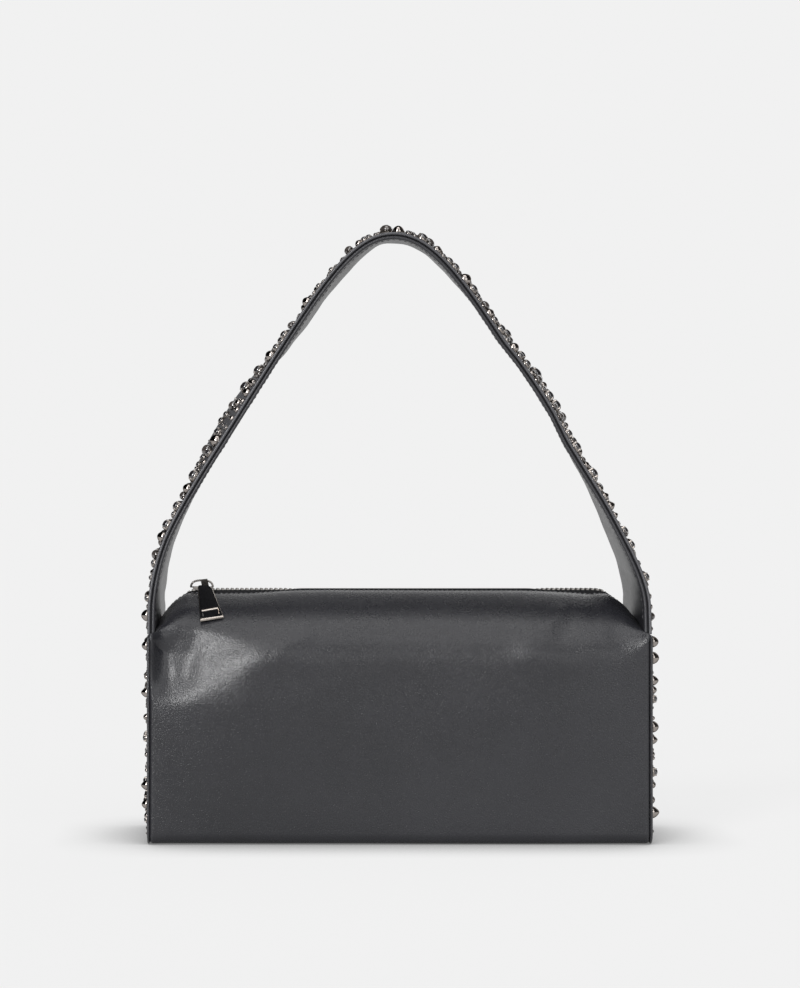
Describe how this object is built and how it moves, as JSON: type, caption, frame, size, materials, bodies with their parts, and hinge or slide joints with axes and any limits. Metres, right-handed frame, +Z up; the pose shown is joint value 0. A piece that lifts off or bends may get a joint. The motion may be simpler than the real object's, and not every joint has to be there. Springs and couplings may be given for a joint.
{
  "type": "studded bag",
  "caption": "Small boxy black leather top-zip bag with a wide tapering strap arched over it, studs along the strap and side panels, and a flat hanging zip puller.",
  "frame": {"origin": "middle of the base, on the surface that the bag stands on", "axes": "+X along the bag towards its right end as seen from the front, +Y from the front to the back, +Z up through the strap"},
  "size_m": [0.2808, 0.093, 0.3353],
  "materials": {
    "body_leather": "smooth semi-gloss black leather with a fine grain",
    "strap_leather": "smooth satin black leather",
    "strap_core": "raw dark edge, matt",
    "stiffener_board": "pressed fibre board, matt",
    "base_board": "thin fibre board, matt",
    "lining_cloth": "black woven lining, matt",
    "zip_tape": "black woven tape, matt",
    "zip_metal": "dark nickel, polished",
    "gunmetal": "black nickel, high gloss",
    "studs": "dark polished metal with bright facets"
  },
  "bodies": {
    "bag": {"front_panel": "body_leather", "back_panel": "body_leather", "base_panel": "body_leather", "side_panel_left": "body_leather", "side_panel_right": "body_leather", "front_stiffener": "stiffener_board", "back_stiffener": "stiffener_board", "side_stiffener_left": "stiffener_board", "side_stiffener_right": "stiffener_board", "base_board": "base_board", "lining_front": "lining_cloth", "lining_back": "lining_cloth", "lining_side_left": "lining_cloth", "lining_side_right": "lining_cloth", "lining_base": "lining_cloth", "zip_tape_front": "zip_tape", "zip_tape_back": "zip_tape", "zip_teeth_front": "zip_metal", "zip_teeth_back": "zip_metal", "zip_stop_left": "zip_metal", "zip_stop_right": "zip_metal", "strap_root_left": "strap_leather", "strap_root_right": "strap_leather", "root_studs_left": "studs", "root_studs_right": "studs", "side_studs_left": "studs", "side_studs_right": "studs"},
    "slider": {"zipper_slider": "gunmetal"},
    "puller": {"puller_tab": "gunmetal"},
    "strap": {"strap_outer": "strap_leather", "strap_core": "strap_core", "strap_inner": "strap_leather", "strap_studs": "studs"}
  },
  "joints": [
    {"name": "zip_slide", "type": "slide", "parent": "bag", "child": "slider", "axis": [1, 0, 0], "range_m": [0, 0.21]},
    {"name": "puller_swing", "type": "hinge", "parent": "slider", "child": "puller", "pos_m": [-0.1076, 0, 0.1403], "axis": [-1, 0, 0], "range_deg": [0, 239]},
    {"name": "strap_tip", "type": "hinge", "parent": "bag", "child": "strap", "pos_m": [0, 0, 0.136], "axis": [1, 0, 0], "range_deg": [-40, 40], "stiffness_Nm_per_rad": 0.8, "deforming": ["strap_root_left", "strap_root_right", "root_studs_left", "root_studs_right"]}
  ]
}
